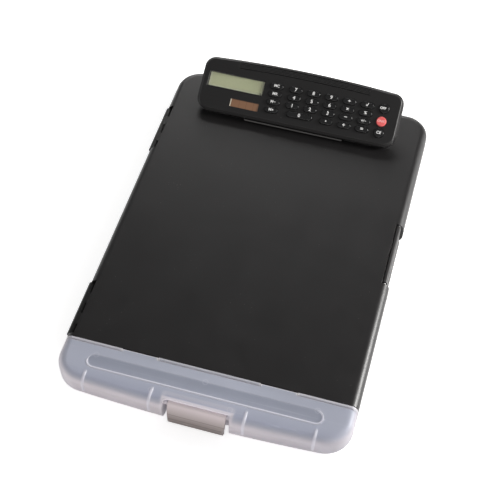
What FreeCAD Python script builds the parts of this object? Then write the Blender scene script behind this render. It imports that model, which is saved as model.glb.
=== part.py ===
import FreeCAD, Part
import math
import os

# Storage clipboard box: a flat two-compartment case whose lid is a writing board, with a calculator
# that is also the lever of the paper clip. Millimetres. X across, Y towards the clip, Z up.
# The origin is the centre of the underside.

# Whole case
box_width = 240.0
board_length = 313.4
pen_depth = 39.8
box_height = 26.0
parting_height = 11.0
parting_gap = 0.3
seam_gap = 0.3
cut_overrun = 5.0

# Case shells
wall = 2.2
board_thickness = 2.4
floor_thickness = 1.8
edge_roll = 7.0
floor_edge = 10.0
back_corner = 22.0
front_corner = 22.5
front_bow = 3.0

# Hinges of the board, on the left side
main_hinge_length = 52.0
front_hinge_from_seam = 29.4
rear_hinge_from_seam = 234.9
knuckle_count = 5
knuckle_gap = 0.3
knuckle_radius = 3.2
knuckle_wall_offset = 1.6
main_pin_radius = 1.2
hinge_axis_down = 7.0
hinge_pocket = 5.4
hinge_pocket_gap = 0.6
hinge_arm = 2.4

# Latch on the right side
latch_from_seam = 150.8
latch_length = 60.6
latch_end_gap = 1.7
latch_pocket = 7.0
latch_thickness = 2.2
latch_barrel = 2.1
latch_axis_in = 4.6
latch_axis_down = 2.4
latch_foot = 3.5
latch_lip = 1.0
latch_lip_height = 3.0
latch_pin_radius = 1.0
latch_pin_seat = 2.6
latch_nose = 1.2
latch_nose_height = 2.0
catch_height = 1.4
catch_gap = 0.3
cheek = 3.0

# Pen compartment
seam_strip = 3.0
strip_height = 3.2
strip_drop = 0.2
strip_chamfer = 1.0
lid_seam_gap = 0.3
pen_lid_thickness = 2.0
pen_hinge_from_centre = 56.8
pen_hinge_length = 30.0
pen_barrel_radius = 1.55
pen_axis_from_seam = 1.6
pen_axis_down = 1.6
pen_pin_radius = 0.8
pen_pin_seat = 3.0
groove_half_length = 95.2
groove_width = 10.8
groove_from_seam = 16.7
groove_depth = 1.3
groove_rear_depth = 0.15
rib_inner_offset = 38.0
rib_outer_offset = 93.0
rib_width = 1.5
rib_height = 0.6
rib_start_from_seam = 27.0
groove_lip_width = 1.5
groove_lip_height = 0.5
groove_lip_edge = 0.35

# Latch of the pen compartment
notch_width = 54.0
notch_from_seam = 33.3
notch_wall_from_seam = 29.6
notch_corner = 3.0
pen_latch_width = 47.0
pen_latch_axis_from_seam = 33.0
pen_latch_axis_down = 5.8
pen_latch_barrel = 2.7
pen_latch_skin = 2.2
pen_latch_reach = 9.5
pen_latch_break_height = 7.0
pen_latch_foot_reach = 6.6
pen_latch_foot = 0.6
pen_latch_corner = 5.0
pen_latch_pin_radius = 1.0
ear_radius = 2.2
ear_gap = 0.5
pen_nose_height = 2.0

# Rivets that hold the pen tray
tray_rivet_radius = 1.2
tray_rivet_head = 2.6
tray_rivet_head_height = 0.9
tray_rivet_height = 5.6
tray_rivet_inner = 45.0
tray_rivet_outer = 92.0

# Fits
pin_clearance = 0.05
seat_clearance = 0.05
rest_gap = 0.1

# Calculator, in its own sloping frame
tilt = 29.5
face_from_seam = 290.2
face_rise = 23.6
calculator_half_width = 93.8
front_reach = 34.4
rear_reach = 19.4
rear_bow = 2.8
rear_bow_half_chord = 83.0
calculator_front_corner = 12.0
calculator_rear_corner = 10.0
shell_wall = 1.6
face_thickness = 1.2
face_bevel = 2.4
face_edge = 1.0
shell_parting_depth = 4.6
body_depth = 8.8
rear_floor = 1.2
front_floor = 1.44
underside_edge = 3.2
slope_reach = 27.0

# Keys
row_pitch = 7.6
memory_column = -23.0
first_column = -5.0
column_pitch = 16.7
round_column = 77.5
key_length = 12.2
memory_key_length = 12.0
wide_key_length = 24.0
key_width = 5.4
round_key_diameter = 9.0
red_key_row = 12.2
key_proud = 1.3
key_gap = 0.25
key_flange = 0.45
key_flange_margin = 0.55
key_flange_clearance = 0.15
key_crown = 0.8

# Display, cell and electronics
display_left = -87.6
display_right = -34.4
display_rear = 2.4
display_front = -11.8
window_thickness = 0.95
panel_margin = 1.4
panel_thickness = 1.6
solar_left = -62.1
solar_right = -35.3
solar_rear = -19.5
solar_front = -27.1
solar_thickness = 1.0
solar_depth = 0.4
solar_margin = 1.0
membrane_left = -31.5
membrane_right = 81.0
membrane_rear = 6.0
membrane_front = -28.5
membrane_depth = 3.1
membrane_thickness = 0.7
dome_radius = 1.8
dome_height = 0.4
board_left = -57.0
board_right = 79.0
board_rear = 13.5
board_front = -30.0
circuit_thickness = 1.0
zebra_length = 21.0
zebra_width = 2.0
cell_radius = 5.8
cell_thickness = 2.05
cell_x = -72.0
cell_v = -4.0
contact_thickness = 0.25
contact_width = 4.0
cover_radius = 8.4
cover_lip = 1.2
cover_lip_depth = 0.5
cover_gap = 0.1
boss_radius = 2.6
boss_x = 85.6
boss_rear_v = 10.0
boss_front_v = -20.0
screw_radius = 1.0
screw_head_radius = 1.9
screw_head_height = 0.7
screw_grip = 2.6
post_radius = 1.6
post_left = -50.6
post_right = 72.6
post_rear_v = 10.3
post_front_v = -20.4

# Ridged grip behind the display
grip_half_length = 62.0
grip_front = 10.8
grip_rear = 17.0
grip_sink = 0.8
ridge_count = 4
ridge_width = 0.8

# Clip
axle_from_seam = 285.5
axle_rise = 5.2
axle_radius = 2.0
axle_half_length = 38.0
bracket_half_width = 36.4
bracket_plate = 1.2
bracket_front = 277.0
bracket_rear = 303.0
bracket_ear_radius = 3.2
rivet_x = 25.0
rivet_front = 281.0
rivet_rear = 299.0
rivet_radius = 2.0
rivet_head_radius = 3.4
rivet_head_height = 1.2
jaw_half_width = 46.0
jaw_plate = 1.2
jaw_front_from_seam = 261.0
jaw_rise = 1.4
jaw_ear_offset = 33.4
jaw_ear_radius = 3.2
jaw_rear_v = -3.0
jaw_window_front = -19.0
jaw_window_rear = -7.0
pad_length = 8.0
pad_inset = 0.8
jaw_screw_x = 40.0
jaw_screw_v = -17.0
spring_wire = 1.0
spring_radius = 2.9
spring_turns = 5.5
spring_pitch = 2.2
spring_leg = 11.0
spring_window = 2.0

# Places worked out from the sizes above
half_width = box_width / 2
back_y = (board_length + pen_depth) / 2
seam_y = back_y - board_length
front_y = -back_y
hinge_axis_height = box_height - hinge_axis_down
pen_latch_axis_height = box_height - pen_latch_axis_down
face_height = box_height + face_rise
axle_height = box_height + axle_rise
jaw_height = box_height + jaw_rise
lid_bottom = parting_height + parting_gap / 2
tray_top = parting_height - parting_gap / 2
X = FreeCAD.Vector(1, 0, 0)
Y = FreeCAD.Vector(0, 1, 0)
Z = FreeCAD.Vector(0, 0, 1)


def at(x, y, z):
    return FreeCAD.Vector(x, y, z)


def block(x0, x1, y0, y1, z0, z1):
    return Part.makeBox(x1 - x0, y1 - y0, z1 - z0, at(x0, y0, z0))


def rod(radius, start, direction, length):
    return Part.makeCylinder(radius, length, start, direction)


def arc(a, middle, b):
    return Part.Arc(a, middle, b).toShape()


def line(a, b):
    return Part.LineSegment(a, b).toShape()


def face_of(edges):
    return Part.Face(Part.Wire(edges))


def prism_x(points, x0, x1):
    """A bar along X whose section is the closed list of (y, z) points."""
    corners = [at(x0, y, z) for y, z in points]
    return Part.Face(Part.makePolygon(corners + corners[:1])).extrude(X * (x1 - x0))


def prism_y(points, y0, y1):
    """A bar along Y whose section is the closed list of (x, z) points."""
    corners = [at(x, y0, z) for x, z in points]
    return Part.Face(Part.makePolygon(corners + corners[:1])).extrude(Y * (y1 - y0))


def joined(shapes):
    result = shapes[0].multiFuse(shapes[1:]) if len(shapes) > 1 else shapes[0]
    return result.removeSplitter()


def without(shape, cutters):
    return shape.cut(cutters) if cutters else shape


def save(shape, node):
    shape.exportStep("parts/" + node + ".step")


# The envelope of the case: the board's plan has round rear corners, and the pen end a bowed front.
def board_face(inset, z, front):
    side = half_width - inset
    rear = back_y - inset
    r = back_corner - inset
    bend = r * math.sqrt(0.5)
    cx = side - r
    cy = rear - r
    return face_of([
        line(at(-side, front, z), at(side, front, z)),
        line(at(side, front, z), at(side, cy, z)),
        arc(at(side, cy, z), at(cx + bend, cy + bend, z), at(cx, rear, z)),
        line(at(cx, rear, z), at(-cx, rear, z)),
        arc(at(-cx, rear, z), at(-cx - bend, cy + bend, z), at(-side, cy, z)),
        line(at(-side, cy, z), at(-side, front, z)),
    ])


def pen_face(inset, z, rear):
    half_chord = half_width - front_corner
    bow = (half_chord ** 2 + front_bow ** 2) / (2 * front_bow)
    side = half_width - inset
    r = front_corner - inset
    cx = half_chord
    bow_y = front_y + bow
    cy = bow_y - math.sqrt((bow - front_corner) ** 2 - cx ** 2)
    reach = bow - inset
    spread = math.hypot(cx, bow_y - cy)
    end = at(cx / spread * reach, bow_y - (bow_y - cy) / spread * reach, z)
    turn = math.atan2(cy - bow_y, cx) / 2
    mid = at(cx + r * math.cos(turn), cy + r * math.sin(turn), z)
    return face_of([
        line(at(side, rear, z), at(-side, rear, z)),
        line(at(-side, rear, z), at(-side, cy, z)),
        arc(at(-side, cy, z), at(-mid.x, mid.y, z), at(-end.x, end.y, z)),
        arc(at(-end.x, end.y, z), at(0, front_y + inset, z), end),
        arc(end, mid, at(side, cy, z)),
        line(at(side, cy, z), at(side, rear, z)),
    ])


def rolled(face, height, top_radius, foot_radius, seam):
    """Extrudes a plan and rounds its top and foot edges, but not the ones along the seam."""
    solid = face.extrude(Z * height)
    low = face.BoundBox.ZMin
    for z, radius in ((low + height, top_radius), (low, foot_radius)):
        edges = []
        for edge in solid.Edges:
            box = edge.BoundBox
            level = abs(box.ZMin - z) < seat_clearance and abs(box.ZMax - z) < seat_clearance
            on_seam = abs(box.YMin - seam) < seat_clearance and abs(box.YMax - seam) < seat_clearance
            if level and not on_seam:
                edges.append(edge)
        solid = solid.makeFillet(radius, edges)
    return solid


def board_envelope(inset, front):
    z = floor_thickness if inset else 0
    top = box_height - board_thickness if inset else box_height
    foot = floor_edge - min(inset, wall)
    return rolled(board_face(inset, z, front), top - z, edge_roll - inset, foot, front)


def pen_envelope(inset, rear):
    z = floor_thickness if inset else 0
    top = box_height - pen_lid_thickness if inset else box_height
    foot = floor_edge - min(inset, wall)
    return rolled(pen_face(inset, z, rear), top - z, edge_roll - inset, foot, rear)


def above(z):
    return block(-box_width, box_width, front_y * 2, back_y * 2, z, box_height * 2)


def below(z):
    return block(-box_width, box_width, front_y * 2, back_y * 2, -box_height, z)


# Hinge of the board
hinge_x = -half_width + knuckle_wall_offset
knuckle_pitch = main_hinge_length / knuckle_count
knuckle_length = knuckle_pitch - knuckle_gap
hinge_centres = [seam_y + front_hinge_from_seam, seam_y + rear_hinge_from_seam]
pocket_x = -half_width + hinge_pocket
hinge_pocket_half = main_hinge_length / 2 + hinge_pocket_gap


def knuckle_start(centre, index):
    return centre - main_hinge_length / 2 + index * knuckle_pitch + knuckle_gap / 2


def knuckle(centre, index):
    start = at(hinge_x, knuckle_start(centre, index), hinge_axis_height)
    return rod(knuckle_radius, start, Y, knuckle_length)


def hinge_bore(centre):
    start = at(hinge_x, centre - main_hinge_length, hinge_axis_height)
    return rod(main_pin_radius + pin_clearance, start, Y, 2 * main_hinge_length)


def base_knuckles(centre):
    shapes = []
    for index in range(0, knuckle_count, 2):
        y0 = knuckle_start(centre, index)
        ear = block(-half_width, -half_width + wall, y0, y0 + knuckle_length,
                    tray_top - wall, hinge_axis_height)
        shapes += [knuckle(centre, index), ear]
    return shapes


def lid_knuckles(centre):
    shapes = []
    for index in range(1, knuckle_count, 2):
        y0 = knuckle_start(centre, index)
        arm = block(hinge_x, pocket_x + wall / 2, y0, y0 + knuckle_length,
                    hinge_axis_height + knuckle_radius - hinge_arm, hinge_axis_height + knuckle_radius)
        shapes += [knuckle(centre, index), arm]
    return shapes


def main_hinge_pins():
    length = main_hinge_length - knuckle_gap
    return Part.makeCompound([
        rod(main_pin_radius, at(hinge_x, centre - length / 2, hinge_axis_height), Y, length)
        for centre in hinge_centres
    ])


# Latch of the board
latch_y = seam_y + latch_from_seam
latch_pocket_x = half_width - latch_pocket
latch_axis_x = half_width - latch_axis_in
latch_axis_z = box_height - latch_axis_down
latch_cut_half = latch_length / 2 + latch_end_gap
latch_face_x = latch_axis_x + latch_barrel
catch_z = latch_foot + latch_lip_height + latch_nose_height + catch_gap


def latch_pocket_cut(z0, z1):
    return block(latch_pocket_x, half_width + cut_overrun, latch_y - latch_cut_half, latch_y + latch_cut_half,
                 z0, z1)


def latch_cheeks(envelope, z0, z1):
    shapes = []
    for y0 in (latch_y - latch_cut_half - cheek, latch_y + latch_cut_half):
        shapes.append(envelope.common(block(latch_pocket_x - wall, half_width, y0, y0 + cheek, z0, z1)))
    return shapes


def side_latch():
    y0 = latch_y - latch_length / 2
    inner_x = latch_face_x - latch_thickness
    flap = block(inner_x, latch_face_x, y0, y0 + latch_length, latch_foot, latch_axis_z)
    barrel = rod(latch_barrel, at(latch_axis_x, y0, latch_axis_z), Y, latch_length)
    lip = prism_y([(latch_face_x, latch_foot), (latch_face_x + latch_lip, latch_foot),
                   (latch_face_x, latch_foot + latch_lip_height)], y0, y0 + latch_length)
    nose_low = latch_foot + latch_lip_height
    nose = prism_y([(inner_x, nose_low), (inner_x, nose_low + latch_nose_height),
                    (inner_x - latch_nose, nose_low + latch_nose_height)],
                   y0 + latch_length / 4, y0 + latch_length * 3 / 4)
    bore = rod(latch_pin_radius + pin_clearance, at(latch_axis_x, y0 - cut_overrun, latch_axis_z), Y,
               latch_length + 2 * cut_overrun)
    return without(joined([flap, barrel, lip, nose]), [bore])


def side_latch_pin():
    length = 2 * (latch_cut_half + latch_pin_seat)
    return rod(latch_pin_radius, at(latch_axis_x, latch_y - length / 2, latch_axis_z), Y, length)


def pin_sockets(radius):
    length = 2 * (latch_cut_half + latch_pin_seat + seat_clearance)
    return rod(radius, at(latch_axis_x, latch_y - length / 2, latch_axis_z), Y, length)


# The black shells
def tray_rivet_places():
    return [-tray_rivet_outer, -tray_rivet_inner, tray_rivet_inner, tray_rivet_outer]


def tray_rivet_hole(x):
    return rod(tray_rivet_radius + seat_clearance, at(x, seam_y - 2 * wall, tray_rivet_height), Y, 4 * wall)


def base_tray():
    outer = board_envelope(0, seam_y)
    inner = board_envelope(wall, seam_y + wall)
    shell = outer.cut(inner).common(below(tray_top))
    latch_wall = block(latch_pocket_x - wall, latch_pocket_x, latch_y - latch_cut_half - wall,
                       latch_y + latch_cut_half + wall, floor_thickness / 2, tray_top)
    catch = block(latch_pocket_x, latch_face_x - latch_thickness - latch_nose - catch_gap,
                  latch_y - latch_length / 4, latch_y + latch_length / 4, catch_z, catch_z + catch_height)
    cheeks = latch_cheeks(outer, floor_thickness / 2, tray_top)
    shell = shell.cut(latch_pocket_cut(-cut_overrun, box_height))
    shapes = [shell, latch_wall, catch] + cheeks
    for centre in hinge_centres:
        shapes += base_knuckles(centre)
    cutters = [hinge_bore(centre) for centre in hinge_centres]
    cutters += [tray_rivet_hole(x) for x in tray_rivet_places()]
    return without(joined(shapes), cutters)


def board_rivet_places():
    return [(x, seam_y + y) for x in (-rivet_x, rivet_x) for y in (rivet_front, rivet_rear)]


def board_lid():
    outer = board_envelope(0, seam_y)
    inner = board_envelope(wall, seam_y + wall + seam_gap)
    shell = outer.cut(inner).common(above(lid_bottom))
    shell = shell.cut(block(-box_width, box_width, front_y, seam_y + seam_gap, -box_height, 2 * box_height))
    cutters = [latch_pocket_cut(-cut_overrun, box_height + cut_overrun)]
    shapes = []
    for centre in hinge_centres:
        y0 = centre - hinge_pocket_half
        y1 = centre + hinge_pocket_half
        cutters.append(block(-half_width - cut_overrun, pocket_x, y0, y1, -cut_overrun,
                             box_height + cut_overrun))
        shapes.append(outer.common(block(pocket_x, pocket_x + wall, y0 - wall, y1 + wall,
                                         lid_bottom, box_height - board_thickness / 2)))
        shapes += lid_knuckles(centre)
    shell = shell.cut(cutters)
    shapes.append(block(latch_pocket_x - wall, latch_pocket_x, latch_y - latch_cut_half - wall,
                        latch_y + latch_cut_half + wall, lid_bottom, box_height - board_thickness / 2))
    shapes += latch_cheeks(outer, lid_bottom, box_height)
    holes = [hinge_bore(centre) for centre in hinge_centres]
    holes.append(pin_sockets(latch_pin_radius + seat_clearance))
    for x, y in board_rivet_places():
        holes.append(rod(rivet_radius + seat_clearance, at(x, y, 0), Z, box_height * 2))
    return without(joined([shell] + shapes), holes)


# The pen compartment
pen_axis_y = seam_y - pen_axis_from_seam
pen_axis_z = box_height - pen_axis_down
strip_y = seam_y - seam_strip
lid_rear_y = strip_y - lid_seam_gap
pen_hinge_centres = [-pen_hinge_from_centre, pen_hinge_from_centre]
notch_y = seam_y - notch_from_seam
notch_wall_y = seam_y - notch_wall_from_seam
notch_half = notch_width / 2


def notch_cut():
    """The pocket in the front edge that the latch hangs in."""
    roof = box_height - pen_lid_thickness
    deep = block(-notch_half, notch_half, front_y - cut_overrun, notch_wall_y, -cut_overrun, roof)
    mouth = block(-notch_half, notch_half, front_y - cut_overrun, notch_y, -cut_overrun,
                  box_height + cut_overrun)
    corners = [e for e in mouth.Edges if e.BoundBox.ZLength > box_height and e.BoundBox.YMin > front_y]
    return joined([deep, mouth.makeFillet(notch_corner, corners)])


def notch_lining(envelope, z0, z1):
    """The walls that close the compartment behind and beside the notch."""
    around = block(-notch_half - wall, notch_half + wall, front_y - cut_overrun, notch_wall_y + wall, z0, z1)
    return envelope.common(around)


def strip_bevel():
    """The room above the seam strip in which the rear edge of the pen lid turns."""
    top = box_height - strip_drop
    return prism_x([(strip_y - cut_overrun, 2 * box_height),
                    (strip_y - cut_overrun, top - strip_chamfer - cut_overrun),
                    (strip_y + strip_chamfer, top),
                    (seam_y + cut_overrun, top),
                    (seam_y + cut_overrun, 2 * box_height)], -box_width, box_width)


def pen_tray():
    outer = pen_envelope(0, seam_y)
    inner = pen_envelope(wall, seam_y - wall)
    shell = outer.cut(inner).common(below(tray_top))
    lining = notch_lining(outer, 0, tray_top)
    rear = block(-half_width + edge_roll, half_width - edge_roll, seam_y - wall, seam_y - seam_gap / 2,
                 tray_top - wall, box_height - strip_height)
    strip = block(-half_width + edge_roll, half_width - edge_roll, strip_y, seam_y - seam_gap / 2,
                  box_height - strip_height, box_height)
    ends = outer.common(block(-half_width, half_width, strip_y, seam_y - seam_gap / 2, tray_top - wall,
                              box_height))
    ends = ends.cut(block(-half_width + edge_roll, half_width - edge_roll, strip_y - wall,
                          seam_y, 0, 2 * box_height))
    catch = block(-pen_latch_width / 4, pen_latch_width / 4, notch_wall_y - catch_height / 2,
                  notch_wall_y + wall / 2, tray_top - catch_height, tray_top)
    cutters = [notch_cut(), strip_bevel()]
    for centre in pen_hinge_centres:
        half = pen_hinge_length / 2
        cutters.append(block(centre - half, centre + half, strip_y - wall, seam_y + wall,
                             box_height - strip_height - lid_seam_gap, 2 * box_height))
        cutters.append(pen_hinge_bore(centre))
    body = joined([shell, lining, rear, strip, ends]).cut(cutters)
    return without(joined([body, catch]), [tray_rivet_hole(x) for x in tray_rivet_places()])


def pen_hinge_bore(centre):
    length = pen_hinge_length + 2 * pen_pin_seat + 2 * seat_clearance
    return rod(pen_pin_radius + pin_clearance, at(centre - length / 2, pen_axis_y, pen_axis_z), X, length)


def pen_hinge_pins():
    length = pen_hinge_length + 2 * pen_pin_seat
    return Part.makeCompound([
        rod(pen_pin_radius, at(centre - length / 2, pen_axis_y, pen_axis_z), X, length)
        for centre in pen_hinge_centres
    ])


def groove(grow, z0, z1):
    """The shallow pencil groove: a long slot with round ends."""
    r = groove_width / 2 + grow
    y = seam_y - groove_from_seam
    straight = groove_half_length - groove_width / 2
    return Part.Face(Part.Wire([
        line(at(-straight, y - r, z0), at(straight, y - r, z0)),
        arc(at(straight, y - r, z0), at(straight + r, y, z0), at(straight, y + r, z0)),
        line(at(straight, y + r, z0), at(-straight, y + r, z0)),
        arc(at(-straight, y + r, z0), at(-straight - r, y, z0), at(-straight, y - r, z0)),
    ])).extrude(Z * (z1 - z0))


def above_groove_floor(drop):
    """The space over the groove's floor, which slopes down to the front, lowered by the given amount."""
    rear = seam_y - groove_from_seam + groove_width / 2
    front = rear - groove_width
    high = box_height - groove_rear_depth - drop
    low = box_height - groove_depth - drop
    return prism_x([(rear + groove_width, 2 * box_height), (rear + groove_width, high), (rear, high),
                    (front, low), (front - groove_width, low), (front - groove_width, 2 * box_height)],
                   -box_width, box_width)


def groove_lip():
    """A low rounded lip along the front half of the groove."""
    high = box_height + groove_lip_height
    low = box_height - pen_lid_thickness / 2
    rear = block(-box_width, box_width, seam_y - groove_from_seam, back_y, low, high)
    lip = groove(groove_lip_width, low, high).cut(groove(0, low, high)).cut(rear)
    return lip.makeFillet(groove_lip_edge, level_edges(lip, high))


def pen_lid_ribs():
    """Low ribs over the front edge, each a slice of the envelope grown outwards."""
    grown = rolled(pen_face(-rib_height, 0, seam_y), box_height + rib_height, edge_roll + rib_height,
                   floor_edge, seam_y)
    shapes = []
    for x in (-rib_outer_offset, -rib_inner_offset, rib_inner_offset, rib_outer_offset):
        slice_block = block(x - rib_width / 2, x + rib_width / 2, front_y - cut_overrun,
                            seam_y - rib_start_from_seam, lid_bottom, 2 * box_height)
        shapes.append(grown.common(slice_block))
    return shapes


def pen_lid():
    outer = pen_envelope(0, seam_y)
    inner = pen_envelope(wall, seam_y)
    solid = outer
    for rib in pen_lid_ribs():
        solid = solid.fuse(rib)
    shell = solid.cut(inner).common(above(lid_bottom))
    shell = shell.cut(block(-box_width, box_width, lid_rear_y, seam_y + cut_overrun, 0, 2 * box_height))
    trough = groove(wall / 2, 0, box_height - pen_lid_thickness / 2)
    trough = trough.common(above_groove_floor(pen_lid_thickness))
    hollow = groove(0, 0, 2 * box_height).common(above_groove_floor(0))
    lining = notch_lining(outer, lid_bottom, box_height - pen_lid_thickness / 2)
    shapes = [shell, trough, lining, groove_lip()]
    for centre in pen_hinge_centres:
        length = pen_hinge_length - 2 * lid_seam_gap
        shapes.append(rod(pen_barrel_radius, at(centre - length / 2, pen_axis_y, pen_axis_z), X, length))
        shapes.append(block(centre - length / 2, centre + length / 2, lid_rear_y - wall, pen_axis_y,
                            box_height - pen_lid_thickness, pen_axis_z + pen_barrel_radius))
    body = joined(shapes).cut([notch_cut(), hollow])
    body = joined([body] + latch_ears())
    holes = [pen_hinge_bore(centre) for centre in pen_hinge_centres]
    holes.append(rod(pen_latch_pin_radius + seat_clearance,
                     at(-notch_half - wall / 2, pen_latch_axis_y, pen_latch_axis_height), X,
                     notch_width + wall))
    return without(body, holes)


# Latch of the pen compartment
pen_latch_axis_y = seam_y - pen_latch_axis_from_seam
ear_inner_x = pen_latch_width / 2 + ear_gap


def latch_ears():
    shapes = []
    for side in (-1, 1):
        x0 = min(side * ear_inner_x, side * notch_half)
        x1 = max(side * ear_inner_x, side * notch_half)
        ear = rod(ear_radius, at(x0, pen_latch_axis_y, pen_latch_axis_height), X, x1 - x0)
        web = block(x0, x1, pen_latch_axis_y, notch_wall_y + wall / 2, pen_latch_axis_height - ear_radius,
                    pen_latch_axis_height + ear_radius)
        shapes += [ear, web]
    return shapes


def pen_latch():
    half = pen_latch_width / 2
    axis = (pen_latch_axis_y, pen_latch_axis_height)
    knee = (pen_latch_axis_y - pen_latch_reach, pen_latch_break_height)
    foot = (pen_latch_axis_y - pen_latch_foot_reach, pen_latch_foot)
    slope = math.atan2(axis[1] - knee[1], axis[0] - knee[0])
    out_y = -math.sin(slope) * pen_latch_barrel
    out_z = math.cos(slope) * pen_latch_barrel
    in_y = math.sin(slope) * (pen_latch_skin - pen_latch_barrel)
    in_z = -math.cos(slope) * (pen_latch_skin - pen_latch_barrel)
    section = prism_x([
        (axis[0] + out_y, axis[1] + out_z),
        knee,
        foot,
        (foot[0] + pen_latch_skin, foot[1]),
        (knee[0] + pen_latch_skin + pen_latch_skin / 2, knee[1]),
        (axis[0] + in_y, axis[1] + in_z),
    ], -half, half)
    barrel = rod(pen_latch_barrel, at(-half, axis[0], axis[1]), X, pen_latch_width)
    nose_z = tray_top - catch_height - rest_gap - pen_nose_height
    inner_y = knee[0] + pen_latch_skin * 2
    tongue = block(-half / 2, half / 2, inner_y - pen_latch_skin, notch_wall_y - catch_height / 2 - catch_gap,
                   nose_z, nose_z + pen_nose_height)
    body = joined([section, barrel, tongue])
    for side in (-1, 1):
        body = body.cut([latch_corner(side * half, side), latch_plan_corner(side * half, side)])
    bore = rod(pen_latch_pin_radius + pin_clearance, at(-box_width, axis[0], axis[1]), X, 2 * box_width)
    return without(body, [bore])


def latch_corner(x, side):
    """What the rounded lower corner of the tab leaves away, seen from the front."""
    r = pen_latch_corner
    y0 = front_y - box_height
    inner = x - side * r
    z = pen_latch_foot
    bend = r * math.sqrt(0.5)
    outline = face_of([
        line(at(inner, y0, z - cut_overrun), at(x + side * cut_overrun, y0, z - cut_overrun)),
        line(at(x + side * cut_overrun, y0, z - cut_overrun), at(x + side * cut_overrun, y0, z + r)),
        line(at(x + side * cut_overrun, y0, z + r), at(x, y0, z + r)),
        arc(at(x, y0, z + r), at(inner + side * bend, y0, z + r - bend), at(inner, y0, z)),
        line(at(inner, y0, z), at(inner, y0, z - cut_overrun)),
    ])
    return outline.extrude(Y * 2 * box_height)


def latch_plan_corner(x, side):
    """The same for the corner of the tab seen from above."""
    r = pen_latch_corner
    inner = x - side * r
    y = pen_latch_axis_y - pen_latch_reach
    bend = r * math.sqrt(0.5)
    far_x = x + side * cut_overrun
    far_y = y - cut_overrun
    low = -cut_overrun
    outline = face_of([
        line(at(inner, y, low), at(inner, far_y, low)),
        line(at(inner, far_y, low), at(far_x, far_y, low)),
        line(at(far_x, far_y, low), at(far_x, y + r, low)),
        line(at(far_x, y + r, low), at(x, y + r, low)),
        arc(at(x, y + r, low), at(inner + side * bend, y + r - bend, low), at(inner, y, low)),
    ])
    return outline.extrude(Z * box_height)


def pen_latch_pin():
    length = 2 * (notch_half + wall / 2 - seat_clearance)
    return rod(pen_latch_pin_radius, at(-length / 2, pen_latch_axis_y, pen_latch_axis_height), X, length)


def pen_tray_rivets():
    shapes = []
    for x in tray_rivet_places():
        front = seam_y - wall
        shank = rod(tray_rivet_radius, at(x, front, tray_rivet_height), Y, 2 * wall)
        near = rod(tray_rivet_head, at(x, front - tray_rivet_head_height, tray_rivet_height), Y,
                   tray_rivet_head_height)
        far = rod(tray_rivet_head, at(x, front + 2 * wall, tray_rivet_height), Y, tray_rivet_head_height)
        shapes.append(joined([shank, near, far]))
    return Part.makeCompound(shapes)


# The calculator is built flat, with U across, V up the slope and W out of the face, and then placed.
def tilted(shape):
    turned = shape.copy()
    turned.Placement = FreeCAD.Placement(at(0, seam_y + face_from_seam, face_height),
                                         FreeCAD.Rotation(X, tilt))
    return turned


def calculator_face(inset, w):
    side = calculator_half_width - inset
    front = -front_reach + inset
    bow = (rear_bow_half_chord ** 2 + rear_bow ** 2) / (2 * rear_bow)
    rf = calculator_front_corner - inset
    rr = calculator_rear_corner - inset
    bend = rf * math.sqrt(0.5)
    fx = side - rf
    fy = front + rf
    bow_v = rear_reach - bow
    cx = calculator_half_width - calculator_rear_corner
    cy = bow_v + math.sqrt((bow - calculator_rear_corner) ** 2 - cx ** 2)
    spread = math.hypot(cx, cy - bow_v)
    end = at(cx / spread * (bow - inset), bow_v + (cy - bow_v) / spread * (bow - inset), w)
    turn = math.atan2(cy - bow_v, cx) / 2
    mid = at(cx + rr * math.cos(turn), cy + rr * math.sin(turn), w)
    return face_of([
        line(at(-fx, front, w), at(fx, front, w)),
        arc(at(fx, front, w), at(fx + bend, fy - bend, w), at(side, fy, w)),
        line(at(side, fy, w), at(side, cy, w)),
        arc(at(side, cy, w), mid, end),
        arc(end, at(0, rear_reach - inset, w), at(-end.x, end.y, w)),
        arc(at(-end.x, end.y, w), at(-mid.x, mid.y, w), at(-side, cy, w)),
        line(at(-side, cy, w), at(-side, fy, w)),
        arc(at(-side, fy, w), at(-fx - bend, fy - bend, w), at(-fx, front, w)),
    ])


def calculator_slab(inset, w0, w1):
    return calculator_face(inset, w0).extrude(Z * (w1 - w0))


def level_edges(shape, w):
    return [e for e in shape.Edges
            if abs(e.BoundBox.ZMin - w) < seat_clearance and abs(e.BoundBox.ZMax - w) < seat_clearance]


def front_wedge(rise):
    """The space below the sloping front of the underside, raised by the given amount."""
    low = -body_depth + rise
    return prism_x([(-front_reach - cut_overrun, -shell_parting_depth + rise),
                    (-front_reach, -shell_parting_depth + rise),
                    (-slope_reach, low),
                    (-slope_reach, low - cut_overrun),
                    (-front_reach - cut_overrun, low - cut_overrun)],
                   -box_width, box_width)


def stadium(length, width, w0, w1, u, v):
    """A flat key shape with round ends, or a disc where length equals width."""
    r = width / 2
    half = length / 2 - r
    if half < seat_clearance:
        return rod(r, at(u, v, w0), Z, w1 - w0)
    return Part.Face(Part.Wire([
        line(at(u - half, v - r, w0), at(u + half, v - r, w0)),
        arc(at(u + half, v - r, w0), at(u + half + r, v, w0), at(u + half, v + r, w0)),
        line(at(u + half, v + r, w0), at(u - half, v + r, w0)),
        arc(at(u - half, v + r, w0), at(u - half - r, v, w0), at(u - half, v - r, w0)),
    ])).extrude(Z * (w1 - w0))


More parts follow.
